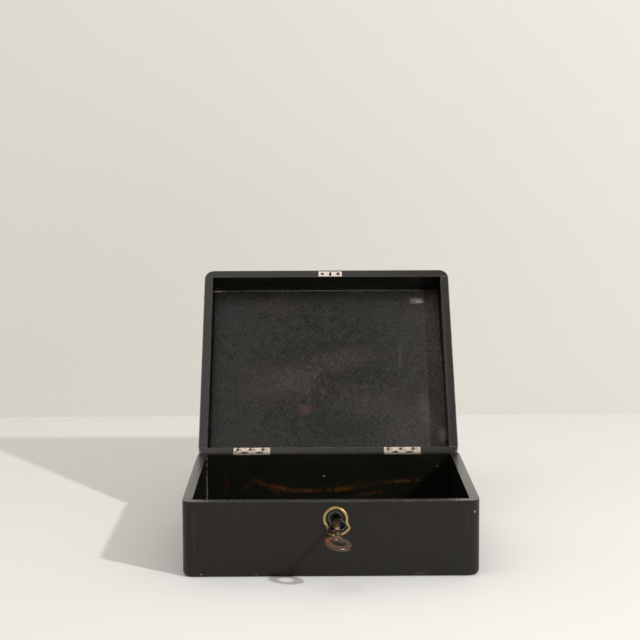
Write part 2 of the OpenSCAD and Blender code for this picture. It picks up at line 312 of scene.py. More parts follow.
def lacquer_finish(
    name,
    wood,
    paint,
    gloss,
    level,
    ripple,
    brush,
    wear,
    in_lid=False,
    edge_colour=None,
    fray=(1.1, 0.5),
    stains=(),
):
    """Black oil lacquer brushed on softwood and rubbed down, with its edges worn to the wood.

    gloss is the lowest and highest roughness and level the shine. ripple is the size and height
    (mm) of the film's ripples, brush the pitch of the brush marks along X, Y and Z (mm), wear how
    much of the rounded edges is bare, and fray the size (mm) and depth of the stains' ragged edges.
    The rounded edges take the bare wood's colour unless another is given; the lid's rim gets a
    greyish one that is painted highlight as well as rubbing.
    """
    material, tree, shader, place = start_finish(
        name, {"IOR": 1.5, "Specular IOR Level": level}
    )
    edge_colour = edge_colour or wood.bare_wood
    if in_lid:
        place = shut_place(tree, place)
    # Smudges of 50 mm from handling, and brush marks that follow the wall
    smudge = add(tree, "TexNoise", {"Vector": place, "Scale": 20, "Detail": 3}).outputs["Fac"]
    stroke = add(
        tree, "Mapping", {"Vector": place, "Scale": [1 / (size * MM) for size in brush]}
    ).outputs[0]
    stroke = add(tree, "TexNoise", {"Vector": stroke, "Scale": 1, "Detail": 3}).outputs["Fac"]
    film = add(
        tree, "TexNoise", {"Vector": place, "Scale": 1 / (ripple[0] * MM), "Detail": 3}
    ).outputs["Fac"]
    ragged = ragged_edge(tree, place, *fray)

    cloudy = add(
        tree, "MapRange", {"Value": smudge, "From Min": 0.35, "From Max": 0.65}
    ).outputs[0]
    tone = add(
        tree,
        "Mix",
        {FACTOR: cloudy, COLOUR_A: rgba(paint), COLOUR_B: scaled(paint, 1.15, 1.35, 1.3)},
        data_type="RGBA",
    ).outputs[MIXED_COLOUR]

    # Wear: on the rounded edges, where a patchy pattern of 9 mm lets the wood through. On the lid's
    # rim the colour there is painted highlight as well as rubbing
    edge = add(tree, "Attribute", attribute_name="edge", attribute_type="GEOMETRY").outputs["Fac"]
    patch = add(tree, "TexNoise", {"Vector": place, "Scale": 110, "Detail": 5}).outputs["Fac"]
    thin = add(
        tree, "MapRange", {"Value": patch, "From Min": 0.66 - wear, "From Max": 0.74 - wear}
    ).outputs[0]
    rubbed = add(tree, "Math", {0: edge, 1: thin}, operation="MULTIPLY").outputs[0]
    # The bare wood's fibres are 17 mm long and 2.5 mm broad
    fibre = add(tree, "Mapping", {"Vector": place, "Scale": (60, 400, 400)}).outputs[0]
    fibre = add(tree, "TexNoise", {"Vector": fibre, "Scale": 1, "Detail": 4}).outputs["Fac"]
    bare = add(
        tree,
        "Mix",
        {FACTOR: fibre, COLOUR_A: scaled(edge_colour, 0.3), COLOUR_B: rgba(edge_colour)},
        data_type="RGBA",
    ).outputs[MIXED_COLOUR]
    tone = add(
        tree, "Mix", {FACTOR: rubbed, COLOUR_A: tone, COLOUR_B: bare}, data_type="RGBA"
    ).outputs[MIXED_COLOUR]
    tone = stain(tree, place, ragged, tone, stains)
    tree.links.new(tone, shader.inputs["Base Color"])

    low, high = gloss
    dull = add(
        tree,
        "MapRange",
        {"Value": smudge, "From Min": 0.3, "From Max": 0.7, "To Min": low, "To Max": high},
    ).outputs[0]
    drag = add(
        tree, "MapRange", {"Value": stroke, "From Min": 0.48, "From Max": 0.8, "To Max": 0.08}
    ).outputs[0]
    dull = add(tree, "Math", {0: dull, 1: drag}, operation="ADD").outputs[0]
    dull = add(tree, "Mix", {FACTOR: rubbed, VALUE_A: dull, VALUE_B: 0.7}).outputs[0]
    tree.links.new(dull, shader.inputs["Roughness"])

    relief = add(tree, "Math", {0: film, 1: drag}, operation="ADD").outputs[0]
    bump = add(tree, "Bump", {"Height": relief, "Strength": 1.0, "Distance": ripple[1] * MM})
    tree.links.new(bump.outputs[0], shader.inputs["Normal"])
    return material


def lining_finish(name, wood):
    """Black leather cloth glued on board, waxed, with rubbed and stained places, painted sheen and
    painted shade.
    """
    material, tree, shader, place = start_finish(
        name, {"IOR": 1.5, "Specular IOR Level": 0.36}
    )
    place = shut_place(tree, place)
    # Pressed grain of slanting pebbles, about 5 mm by 3 mm, with finer wrinkles over it
    slant = add(
        tree,
        "Mapping",
        {
            "Vector": place,
            "Rotation": (0, 0, math.radians(52)),
            "Scale": (5 * MM, 2.8 * MM, 2.8 * MM),
        },
        vector_type="TEXTURE",
    ).outputs[0]
    pebble = add(
        tree,
        "TexVoronoi",
        {"Vector": slant, "Scale": 1, "Smoothness": 0.5},
        feature="SMOOTH_F1",
    ).outputs["Distance"]
    wrinkle = add(
        tree, "TexNoise", {"Vector": slant, "Scale": 1.2, "Detail": 3, "Distortion": 0.9}
    ).outputs["Fac"]
    crease = add(
        tree, "MapRange", {"Value": wrinkle, "From Min": 0.35, "From Max": 0.65}
    ).outputs[0]
    # Clouds of 42 mm in the wax
    broad = add(tree, "TexNoise", {"Vector": place, "Scale": 24, "Detail": 4}).outputs["Fac"]
    ragged = ragged_edge(tree, place, 7, 0.55)
    fray = ragged_edge(tree, place, 1.6, 0.6)

    cloudy = add(
        tree, "MapRange", {"Value": broad, "From Min": 0.38, "From Max": 0.66}
    ).outputs[0]
    tone = add(
        tree,
        "Mix",
        {
            FACTOR: cloudy,
            COLOUR_A: rgba(wood.lining),
            COLOUR_B: scaled(wood.lining, 1.5, 1.42, 1.35),
        },
        data_type="RGBA",
    ).outputs[MIXED_COLOUR]
    # Painted shade: the lining is darker in the hollows of its wrinkles, which the bump also lowers
    tone = add(
        tree,
        "Mix",
        {FACTOR: crease, COLOUR_A: scaled(wood.lining, 0.55), COLOUR_B: tone},
        data_type="RGBA",
    ).outputs[MIXED_COLOUR]
    # Painted sheen: these lighter mauve and grey patches stand in for reflections on the waxed
    # cloth
    painted_sheen_patches = [((-34, 12, 95), (23, 20, 9), LEVEL), ((107, 50, 95), (7, 21, 9), (0, 0, -10))]
    painted_sheen_clouds = [
        ((14, -14, 95), (34, 13, 9), (0, 0, -10)),
        ((46, 42, 95), (42, 22, 9), (0, 0, 12)),
        ((90, 72, 95), (38, 30, 9), LEVEL),
    ]
    brown_clouds = [
        ((122, 0, 95), (3, 90, 9), LEVEL),
        ((-56, -86, 95), (17, 9, 9), LEVEL),
        ((106, -80, 95), (13, 15, 9), LEVEL),
    ]
    # Painted light: the mauve band along the right edge lifts the shadow of the lid's right wall,
    # and the faint pale clouds are painted sheen; the brown clouds are the cloth's own stains
    clouds_and_sheen = [
        (wood.bloom_and_sheen, 0.9, 0.5, painted_sheen_patches),
        (wood.bloom_and_sheen, 0.45, 0.7, [((-66, 17, 95), (22, 21, 9), LEVEL)]),
        (wood.bloom_and_sheen, 0.8, 0.7, [((118, -14, 95), (9, 84, 9), LEVEL)]),
        (wood.dust_and_sheen, 0.025, 0.8, [((92, -10, 95), (34, 80, 9), LEVEL)]),
        (wood.dust_and_sheen, 0.055, 0.7, painted_sheen_clouds),
        (wood.bare_wood, 0.07, 0.7, brown_clouds),
    ]
    tone = stain(tree, place, ragged, tone, clouds_and_sheen)
    scuffs = [((100, -92, 95), (7, 3.6, 9), LEVEL), ((122, 80, 95), (4, 8, 9), LEVEL)]
    # Painted highlight: the pale line at (-122, -106), the lining's top-left corner with the lid
    # open, is light on the cloth's edge; the other is a nick
    nicks = [((102, -91, 95), (3, 1.4, 9), LEVEL), ((-122, -106, 95), (6, 1.2, 9), LEVEL)]
    # Painted highlight: the line along the front edge, the top with the lid open, is light on the
    # turned-up cloth; the line along the right is its torn edge
    torn_edge_and_highlight = [((124.8, 30, 95), (0.9, 66, 9), LEVEL), ((0, -106.6, 95), (118, 0.9, 9), LEVEL)]
    chips = [
        (wood.bare_wood, 0.32, 0.6, [((-24, 47, 95), (8, 5, 9), LEVEL)]),
        (wood.dust_and_sheen, 0.32, 0.5, scuffs),
        (wood.dust_and_sheen, 0.5, 0.3, nicks),
        (wood.dust_and_sheen, 0.22, 0.5, torn_edge_and_highlight),
        (wood.dust_and_sheen, 0.08, 0.8, [((79.5, -18, 95), (1.2, 14, 9), (0, 0, 2))]),
    ]
    tone = stain(tree, place, fray, tone, chips)
    tree.links.new(tone, shader.inputs["Base Color"])
    gloss = add(
        tree,
        "MapRange",
        {"Value": broad, "From Min": 0.3, "From Max": 0.7, "To Min": 0.34, "To Max": 0.5},
    ).outputs[0]
    tree.links.new(gloss, shader.inputs["Roughness"])

    # The cloth is most wrinkled in the middle and to the right of it, and smoother at its edges
    still = add(
        tree,
        "MapRange",
        {"Value": ragged, "From Min": -1, "From Max": 1, "To Min": 0.2, "To Max": 0.35},
    ).outputs[0]
    deep = marks(tree, place, ragged, [((18, 18, 95), (104, 84, 40), (0, 0, 22))], 0.75)
    depth = add(tree, "Math", {0: deep, 1: still}, operation="MAXIMUM").outputs[0]
    height = add(tree, "Math", {0: crease, 1: pebble}, operation="SUBTRACT").outputs[0]
    height = add(tree, "Math", {0: height, 1: depth}, operation="MULTIPLY").outputs[0]
    bump = add(tree, "Bump", {"Height": height, "Strength": 1.0, "Distance": 0.95 * MM})
    tree.links.new(bump.outputs[0], shader.inputs["Normal"])
    return material


def metal_finish(
    name,
    metal_colour,
    dirt,
    roughness,
    grain_mm,
    dirt_share,
    in_lid=False,
    worn=None,
    stains=(),
):
    """Old fittings: metal with a stained, finely pitted skin.

    grain_mm is the pitch of the pits, dirt_share how much of the skin is dirty, and worn the
    colour of the rubbed edges, if they have one of their own; on the lock that colour is painted
    highlight as well as rubbing.
    """
    material, tree, shader, place = start_finish(name, {"Metallic": 1.0})
    if in_lid:
        place = shut_place(tree, place)
    # Blotches of 4 mm
    blotch = add(tree, "TexNoise", {"Vector": place, "Scale": 260, "Detail": 5}).outputs["Fac"]
    pit = add(
        tree, "TexNoise", {"Vector": place, "Scale": 1 / (grain_mm * MM), "Detail": 3}
    ).outputs["Fac"]
    shift = dirt_share / 2
    dirty = add(
        tree, "MapRange", {"Value": blotch, "From Min": 0.75 - shift, "From Max": 0.92 - shift}
    ).outputs[0]
    bright = rgba(min(1, c * 1.15) for c in metal_colour)
    tone = add(
        tree,
        "Mix",
        {FACTOR: pit, COLOUR_A: scaled(metal_colour, 0.6), COLOUR_B: bright},
        data_type="RGBA",
    ).outputs[MIXED_COLOUR]
    tone = add(
        tree, "Mix", {FACTOR: dirty, COLOUR_A: tone, COLOUR_B: rgba(dirt)}, data_type="RGBA"
    ).outputs[MIXED_COLOUR]
    if worn:
        edge = add(
            tree, "Attribute", attribute_name="edge", attribute_type="GEOMETRY"
        ).outputs["Fac"]
        tone = add(
            tree, "Mix", {FACTOR: edge, COLOUR_A: tone, COLOUR_B: rgba(worn)}, data_type="RGBA"
        ).outputs[MIXED_COLOUR]
    if stains:
        tone = stain(tree, place, ragged_edge(tree, place, 1.1, 0.4), tone, stains)
    tree.links.new(tone, shader.inputs["Base Color"])
    gloss = add(
        tree,
        "MapRange",
        {"Value": blotch, "To Min": roughness - 0.1, "To Max": roughness + 0.15},
    ).outputs[0]
    tree.links.new(gloss, shader.inputs["Roughness"])
    bump = add(tree, "Bump", {"Height": pit, "Strength": 0.4, "Distance": 0.08 * MM})
    tree.links.new(bump.outputs[0], shader.inputs["Normal"])
    return material


def from_node(node):
    """A copy of a CAD node's mesh, with its flat triangles joined to whole faces."""
    shape = bmesh.new()
    shape.from_mesh(frame["nodes"][node].data)
    bmesh.ops.remove_doubles(shape, verts=shape.verts, dist=1e-6)
    bmesh.ops.dissolve_limit(
        shape,
        angle_limit=math.radians(0.5),
        use_dissolve_boundaries=False,
        verts=shape.verts,
        edges=shape.edges,
    )
    return shape


def make_piece(name, shape, node_names, material):
    """Makes a mesh object of the shape, riding where the CAD nodes that it stands for ride."""
    mesh = bpy.data.meshes.new(name)
    shape.to_mesh(mesh)
    shape.free()
    mesh.materials.append(material)
    mesh.polygons.foreach_set("use_smooth", [True] * len(mesh.polygons))
    piece = bpy.data.objects.new(name, mesh)
    bpy.context.scene.collection.objects.link(piece)
    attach(piece, frame["nodes"][node_names[0]]["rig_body"])
    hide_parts(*node_names)
    return piece


def soften(piece, width):
    """Rounds the weighted edges, and marks the new faces in the attribute that wear reads."""
    bevel = piece.modifiers.new("Soft edges", "BEVEL")
    bevel.limit_method = "WEIGHT"
    bevel.width = width
    bevel.segments = 3
    bevel.profile = 0.5
    # The rounding's own faces are told by a second material slot, which goes again below
    bevel.material = 1
    piece.data.materials.append(piece.data.materials[0])
    graph = bpy.context.evaluated_depsgraph_get()
    mesh = bpy.data.meshes.new_from_object(piece.evaluated_get(graph))
    piece.modifiers.remove(bevel)
    piece.data = mesh
    mesh.name = piece.name
    worn = [float(face.material_index) for face in mesh.polygons for _ in face.loop_indices]
    mesh.attributes.new("edge", "FLOAT", "CORNER").data.foreach_set("value", worn)
    mesh.polygons.foreach_set("material_index", [0] * len(mesh.polygons))
    mesh.materials.pop(index=1)
    even = piece.modifiers.new("Even shading", "WEIGHTED_NORMAL")
    even.keep_sharp = True
    return piece


def weigh_edges(shape, weight_of, to_shut):
    """Gives each sharp edge the share of the rounding that weight_of says of its two ends.

    It gets the ends in millimetres, moved by to_shut. An edge without a share stays sharp.
    """
    weights = shape.edges.layers.float.new("bevel_weight_edge")
    for edge in shape.edges:
        if len(edge.link_faces) != 2 or edge.calc_face_angle() < math.radians(30):
            continue
        a, b = (to_shut @ v.co / MM for v in edge.verts)
        share = weight_of(a, b)
        if share:
            edge[weights] = share
        else:
            edge.smooth = False


def near(value, *targets):
    """Whether the value is at one of the targets."""
    return any(abs(value - t) < TOUCH for t in targets)


def on_outline(p):
    """Whether a point lies on the box's upright outer faces."""
    dx = max(abs(p.x) - (HALF_W - CORNER_R), 0)
    dy = max(abs(p.y) - (HALF_D - CORNER_R), 0)
    on_corner = abs(math.hypot(dx, dy) - CORNER_R) < 3 * TOUCH
    return near(abs(p.x), HALF_W) or near(abs(p.y), HALF_D) or on_corner


def wall_share(a, b):
    """Share of the rims' rounding for an edge of a wall."""
    ends = (a, b)
    at_joint = all(near(abs(p.y), INNER_Y) and abs(p.x) > INNER_X - TOUCH for p in ends)
    if at_joint or all(near(p.z, LID_TOP_Z) for p in ends):
        return 0.2
    if all(near(p.z, RIM_Z, LID_RIM_Z) for p in ends):
        if all(on_outline(p) for p in ends):
            return 1.0
        along_x = all(near(abs(p.y), INNER_Y) for p in ends)
        along_y = all(near(abs(p.x), INNER_X) for p in ends)
        if along_x or along_y:
            return 0.6
    return 0.0


def make_wall(node, piece_name, wood, finishes, to_shut=None):
    """A wall of the base or lid, with worn, rounded rims and a fine groove at each joint.

    finishes are those of the outside, the rim and the inside.
    """
    shape = from_node(node)
    shut = to_shut or Matrix.Identity(4)
    for side in (-1, 1):
        # The rim's rounding stops where a side wall meets a front or back wall
        bmesh.ops.bisect_plane(
            shape,
            geom=shape.verts[:] + shape.edges[:] + shape.faces[:],
            plane_co=(side * INNER_X * MM, 0, 0),
            plane_no=(1, 0, 0),
            dist=1e-7,
        )
    weigh_edges(shape, wall_share, shut)
    wall = soften(make_piece(piece_name, shape, [node], finishes[0]), wood.rim_round)
    for finish in finishes[1:]:
        wall.data.materials.append(finish)
    # How far from the rim its finish goes, and how far past the inner faces theirs does
    reach = wood.rim_round / MM + 0.05
    slack = 0.1
    for face in wall.data.polygons:
        spot = shut @ face.center / MM
        if any(abs(spot.z - rim) < reach for rim in (RIM_Z, LID_RIM_Z)):
            face.material_index = 1
        elif abs(spot.x) < INNER_X + slack and abs(spot.y) < INNER_Y + slack:
            face.material_index = 2
    return wall


def plate_from_node(node, piece_name, width, material, shortest=1.0):
    """A sheet metal part with its edges broken, but for those shorter than shortest (mm).

    The short ones belong to small round holes.
    """
    shape = from_node(node)
    weigh_edges(shape, lambda a, b: float((a - b).length > shortest), Matrix.Identity(4))
    return soften(make_piece(piece_name, shape, [node], material), width)


def dress_node(node, material):
    """Gives its finish to a CAD node that stays as it is."""
    mesh = frame["nodes"][node].data
    mesh.materials.clear()
    mesh.materials.append(material)


class DEEDBOX_OT_base(bpy.types.Operator):
    """Lacquered walls and bottom board of the base"""

    bl_idname = "deedbox.base"
    bl_label = "Base"

    def execute(self, context):
        wood = context.scene.deedbox_wood
        joints = [
            ((-124, -117, 39), (0.35, 2, 25), LEVEL),
            ((123.6, -117, 52), (0.4, 2, 16), LEVEL),
        ]
        nicks = [
            ((130, -115.4, 59.4), (1, 1, 1.2), LEVEL),
            ((-118, -116.6, 3), (1, 1.5, 0.8), LEVEL),
            ((-68, -116, 2), (0.7, 1.2, 0.5), LEVEL),
        ]
        outside = lacquer_finish(
            "Rubbed black lacquer, base",
            wood,
            wood.lacquer,
            **OUTSIDE,
            stains=[
                (wood.bare_wood, 0.28, 0.5, joints),
                (wood.bare_wood, 0.55, 0.4, [((81, -116.4, 2.9), (5, 3, 1), LEVEL)]),
                (wood.dust_and_sheen, 0.6, 0.25, nicks),
            ],
        )
        dashes = [((-14, -117, 70), (9, 1.2, 0.8), LEVEL), ((9, -117, 70), (7, 1.4, 1), LEVEL)]
        brown = [((34, -117, 70), (12, 1.2, 0.8), LEVEL), ((74, -117, 70), (26, 0.9, 0.8), LEVEL)]
        rim = lacquer_finish(
            "Polished rim lacquer, base",
            wood,
            wood.rim,
            gloss=(0.1, 0.24),
            level=0.74,
            ripple=(2.4, 0.5),
            brush=(1.2, 1.2, 1.2),
            wear=0.13,
            stains=[(wood.rubbed, 0.22, 0.4, dashes), (wood.bare_wood, 0.3, 0.4, brown)],
        )
        # Orange brown streaks run in thin tongues over the lower half of the back wall's inner face
        tongues = [
            ((-66, 108, 37), (12, 3, 2), (0, 30, 0)),
            ((-46, 108, 32.4), (14, 3, 1.9), (0, 8, 0)),
            ((-20, 108, 31), (15, 3, 1.5), LEVEL),
            ((14, 108, 32.2), (14, 3, 1.8), (0, -5, 0)),
            ((43, 108, 28), (12, 3, 1.2), (0, -10, 0)),
            ((73, 108, 41), (11, 3, 1.5), (0, -6, 0)),
            ((92.6, 108, 41.7), (3.5, 3, 1.6), LEVEL),
        ]
        cores = [
            ((-52, 108, 35), (7, 3, 1.6), (0, 14, 0)),
            ((-26, 108, 31.4), (10, 3, 1.3), LEVEL),
            ((12, 108, 32), (8, 3, 1.9), (0, -6, 0)),
            ((76, 108, 40.6), (6, 3, 1.2), LEVEL),
        ]
        faint = [
            ((-105.5, 108, 40), (2.6, 3, 9), LEVEL),
            ((-81, 108, 38), (9, 3, 2), (0, -38, 0)),
            ((30, 108, 37), (30, 3, 2.4), (0, -4, 0)),
        ]
        specks = [
            ((-4.7, 108, 46.4), (1, 1, 0.6), LEVEL),
            ((113, 108, 56.3), (0.8, 1, 0.8), LEVEL),
            ((-125.6, 108, 40), (0.35, 1, 26), LEVEL),
        ]
        inside = lacquer_finish(
            "Glossy black lacquer, inside base",
            wood,
            wood.inside,
            gloss=(0.14, 0.26),
            level=0.5,
            ripple=(5, 0.05),
            brush=(50, 50, 1.6),
            wear=0.02,
            fray=(2.6, 0.7),
            stains=[
                (wood.stain, 0.12, 0.9, faint),
                (wood.stain, 0.32, 0.8, tongues),
                (wood.stain, 0.55, 0.8, cores),
                (wood.dust_and_sheen, 0.5, 0.3, specks),
            ],
        )
        for node in ("base_front", "base_back", "base_left", "base_right"):
            make_wall(node, node + "_wall", wood, (outside, rim, inside))
        dress_node("base_floor", inside)
        return {"FINISHED"}


class DEEDBOX_OT_lid(bpy.types.Operator):
    """Lacquered walls and top board of the lid"""

    bl_idname = "deedbox.lid"
    bl_label = "Lid"

    def execute(self, context):
        wood = context.scene.deedbox_wood
        nicks = [
            ((135, -39, 71), (0.8, 0.9, 0.9), LEVEL),
            ((134.6, -67, 71), (0.7, 0.5, 0.9), LEVEL),
        ]
        joints = [((130.5, side * INNER_Y, 70.4), (5, 0.35, 1), LEVEL) for side in (-1, 1)]
        # Painted highlight: a thin light line along the right rim's inner edge
        highlight_stripe = [((127.4, 4, 70.4), (0.5, 104, 2), LEVEL)]
        outside = lacquer_finish(
            "Rubbed black lacquer, lid",
            wood,
            wood.lacquer,
            **OUTSIDE,
            in_lid=True,
            stains=[(wood.dust_and_sheen, 0.8, 0.25, nicks)],
        )
        # Painted highlight: the rim's rounded edges take the greyish colour in patches, as rubbing
        # and as light on the rounding
        rim = lacquer_finish(
            "Rubbed rim lacquer, lid",
            wood,
            wood.rim,
            gloss=(0.16, 0.3),
            level=0.33,
            ripple=(2, 0.05),
            brush=(1.5, 1.5, 1.5),
            wear=0.3,
            in_lid=True,
            edge_colour=wood.rubbed,
            stains=[
                (wood.dust_and_sheen, 0.8, 0.25, nicks),
                (wood.dust_and_sheen, 0.2, 0.5, joints),
                (wood.dust_and_sheen, 0.06, 0.5, highlight_stripe),
            ],
        )
        inside = lacquer_finish(
            "Glossy black lacquer, inside lid",
            wood,
            wood.inside,
            gloss=(0.2, 0.3),
            level=0.4,
            ripple=(5, 0.03),
            brush=(50, 50, 1.6),
            wear=0.02,
            in_lid=True,
        )
        for node in ("lid_front", "lid_back", "lid_left", "lid_right"):
            make_wall(node, node + "_wall", wood, (outside, rim, inside), TO_SHUT)
        shape = from_node("lid_top")
        # A fine groove shows where the board lies on the walls
        weigh_edges(
            shape,
            lambda a, b: 0.2 if near(a.z, LID_TOP_Z) and near(b.z, LID_TOP_Z) else 0.0,
            TO_SHUT,
        )
        board = make_piece("lid_top_board", shape, ["lid_top"], outside)
        soften(board, wood.rim_round)
        return {"FINISHED"}


class DEEDBOX_OT_lining(bpy.types.Operator):
    """Leather cloth lining inside the lid"""

    bl_idname = "deedbox.lining"
    bl_label = "Lining"

    def execute(self, context):
        wood = context.scene.deedbox_wood
        # The glued cloth isn't quite flat: it has low waves and turns up at its border (mm)
        wave_length, wave_height = 30, 0.25
        border_width, border_height = 3, 0.5
        shape = bmesh.new()
        bmesh.ops.create_grid(shape, x_segments=126, y_segments=108, size=1)
        bmesh.ops.scale(shape, vec=(INNER_X * MM, INNER_Y * MM, 1), verts=shape.verts)
        bmesh.ops.reverse_faces(shape, faces=shape.faces)
        for vert in shape.verts:
            p = vert.co / MM
            wave = 0.5 + 0.5 * noise.noise(Vector((p.x, p.y, 0)) / wave_length)
            gap = min(INNER_X - abs(p.x), INNER_Y - abs(p.y))
            rim = border_height * max(0.0, 1 - gap / border_width)
            vert.co.z = (LINING_Z + wave_height * wave + rim) * MM
        border = [e for e in shape.edges if e.is_boundary]
        made = bmesh.ops.extrude_edge_only(shape, edges=border)["geom"]
        for vert in made:
            if isinstance(vert, bmesh.types.BMVert):
                vert.co.z = LID_TOP_Z * MM
        back = [e for e in made if isinstance(e, bmesh.types.BMEdge) and e.is_boundary]
        bmesh.ops.edgeloop_fill(shape, edges=back)
        bmesh.ops.recalc_face_normals(shape, faces=shape.faces)
        bmesh.ops.transform(shape, matrix=TO_OPEN, verts=shape.verts)
        leather = lining_finish("Leather cloth", wood)
        make_piece("lid_lining_cloth", shape, ["lid_lining"], leather)
        return {"FINISHED"}


class DEEDBOX_OT_hinges(bpy.types.Operator):
    """Two butt hinges with their pins and screws"""

    bl_idname = "deedbox.hinges"
    bl_label = "Hinges"

    def execute(self, context):
        metal = context.scene.deedbox_metal
        # Dirt lies around the screws; dirt and painted shade darken the base's two knuckles and the
        # gaps beside them
        screws = [x + step for x in HINGE_MIDDLES for step in (-13, 0, 13)]
        knuckles = [x + step for x in HINGE_MIDDLES for step in (-7.6, 7.6)]
        rings = [((x - 0.6, 110.4, 70.4), (2.8, 2.5, 2), LEVEL) for x in screws]
        heads = [((x - 1.1, 110.2, 70.4), (1.2, 1.6, 2), LEVEL) for x in screws]
        dirty_shaded_knuckles = [((x, 112.7, 70.2), (4.2, 1.9, 1.2), LEVEL) for x in knuckles]
        dirty_shaded_slits = [((x, 113, 70.4), (4.2, 0.9, 2), LEVEL) for x in knuckles]
        looks = {
            "metal_colour": metal.nickel,
            "dirt": metal.dirt,
            "roughness": 0.42,
            "grain_mm": 2.2,
            "dirt_share": 0.3,
        }
        plate = metal_finish("Worn nickel plate", **looks, stains=[(metal.dirt, 1.0, 0.3, dirty_shaded_knuckles)])
        lid_plate = metal_finish(
            "Worn nickel plate, lid",
            **looks,
            in_lid=True,
            stains=[(metal.dirt, 0.9, 0.4, rings), (metal.dirt, 1.0, 0.4, dirty_shaded_slits)],
        )
        screw = metal_finish(
            "Worn nickel screws", **looks, in_lid=True, stains=[(metal.dirt, 0.9, 0.4, heads)]
        )
        for side in ("hinge_left", "hinge_right"):
            for half, finish in (("base", plate), ("lid", lid_plate)):
                node = f"{side}_{half}_leaf"
                name = f"{side}_{half}_plate"
                plate_from_node(node, name, metal.leaf_round, finish)
                dress_node(f"{side}_{half}_screws", screw)
            dress_node(f"{side}_pin", plate)
        return {"FINISHED"}


class DEEDBOX_OT_strike_plate(bpy.types.Operator):
    """Bright strike plate on the lid's rim"""

    bl_idname = "deedbox.strike_plate"
    bl_label = "Strike plate"

    def execute(self, context):
        metal = context.scene.deedbox_metal
        stained = [((8.2, -112, 70.4), (2.8, 5, 3), LEVEL), ((-2.5, -112, 70.4), (7, 5, 3), LEVEL)]
        plate = metal_finish(
            "Bright plated brass",
            metal.silver,
            metal.dirt,
            roughness=0.42,
            grain_mm=0.5,
            dirt_share=0.1,
            in_lid=True,
            stains=[
                (metal.warm_silver, 0.2, 0.5, stained),
                (metal.screw, 0.6, 0.4, [((12.7, -112, 70.4), (2.2, 2.2, 3), LEVEL)]),
            ],
        )
        screw = metal_finish(
            "Dark screws", metal.screw, metal.dirt, roughness=0.45, grain_mm=0.4, dirt_share=0.4
        )
        plate_from_node("strike_plate", "strike_plate_bright", metal.leaf_round, plate)
        dress_node("strike_screws", screw)
        return {"FINISHED"}


class DEEDBOX_OT_keyhole_border(bpy.types.Operator):
    """Half-round brass border around the keyhole"""

    bl_idname = "deedbox.keyhole_border"
    bl_label = "Keyhole border"

    def execute(self, context):
        metal = context.scene.deedbox_metal
        # The outline is a round head over a fan, in mm and degrees about the head's middle
        head_r, fan_r = 10.1, 15.0
        fan_start, fan_corner = 59.6, 43.0
        head_steps, fan_steps = 48, 16
        route = []
        for step in range(head_steps + 1):
            angle = math.radians(fan_start + step * (360 - 2 * fan_start) / head_steps)
            route.append((head_r * math.sin(angle), -head_r * math.cos(angle)))
        for step in range(fan_steps + 1):
            angle = math.radians(-fan_corner + step * 2 * fan_corner / fan_steps)
            route.append((fan_r * math.sin(angle), -fan_r * math.cos(angle)))
        curve = bpy.data.curves.new("border route", "CURVE")
        curve.dimensions = "3D"
        curve.bevel_depth = metal.bead_radius
        curve.bevel_resolution = 5
        line = curve.splines.new("POLY")
        line.points.add(len(route) - 1)
        line.use_cyclic_u = True
        for point, (x, y) in zip(line.points, route):
            point.co = (x * MM, y * MM, 0, 1)
        holder = bpy.data.objects.new("border route", curve)
        bpy.context.scene.collection.objects.link(holder)
        graph = bpy.context.evaluated_depsgraph_get()
        tube = bpy.data.meshes.new_from_object(holder.evaluated_get(graph))
        bpy.data.objects.remove(holder)
        shape = bmesh.new()
        shape.from_mesh(tube)
        bpy.data.meshes.remove(tube)
        bmesh.ops.remove_doubles(shape, verts=shape.verts, dist=1e-6)
        # Half of the tube stays, let 0.03 mm into the wood
        cut = bmesh.ops.bisect_plane(
            shape,
            geom=shape.verts[:] + shape.edges[:] + shape.faces[:],
            plane_co=(0, 0, -0.03 * MM),
            plane_no=(0, 0, -1),
            clear_outer=True,
        )["geom_cut"]
        bmesh.ops.bridge_loops(shape, edges=[e for e in cut if isinstance(e, bmesh.types.BMEdge)])
        bmesh.ops.recalc_face_normals(shape, faces=shape.faces)
        place = (
            Matrix.Translation(LOCK * MM)
            @ Matrix.Rotation(math.radians(90), 4, "X")
            @ Matrix.Rotation(math.radians(KEYHOLE_LEAN), 4, "Z")
        )
        bmesh.ops.transform(shape, matrix=place, verts=shape.verts)
        # The bead is darkened at its lower left
        dull = [((-3.4, -118, 40), (5.2, 4, 6.8), LEVEL)]
        brass = metal_finish(
            "Tarnished brass",
            metal.brass,
            metal.dirt,
            roughness=0.45,
            grain_mm=1.3,
            dirt_share=0.32,
            stains=[(metal.dirt, 0.92, 0.5, dull)],
        )
        make_piece("keyhole_bead", shape, ["keyhole_border"], brass)
        return {"FINISHED"}


class DEEDBOX_OT_lock(bpy.types.Operator):
    """Lock behind the keyhole"""

    bl_idname = "deedbox.lock"
    bl_label = "Lock"

    def execute(self, context):
        metal = context.scene.deedbox_metal
        # Painted shade: the bright rim is darkened at the keyhole's lower left, the side away from
        # the light
        dull = [((-1.5, -110, 44), (4.5, 12, 5.5), LEVEL)]
        steel = metal_finish(
            "Blued lock steel",
            metal.steel,
            metal.dirt,
            roughness=0.38,
            grain_mm=0.5,
            dirt_share=0.15,
            worn=metal.rubbed_and_highlit_steel,
            stains=[(metal.dirt, 0.85, 0.5, dull)],
        )
        # The rubbed rim of the case's keyhole is broad enough to shine; its bright colour is
        # painted highlight as well as rubbing
        plate_from_node(
            "lock_case", "lock_case_sheet", metal.hole_round, steel, shortest=0.4
        )
        sheets = {"lock_back_plate": "lock_back_sheet", "lock_selvage": "lock_rim_sheet"}
        for node, name in sheets.items():
            plate_from_node(node, name, metal.leaf_round, steel)
        for node in ("lock_screws", "lock_bolt", "lock_pin"):
            dress_node(node, steel)
        return {"FINISHED"}


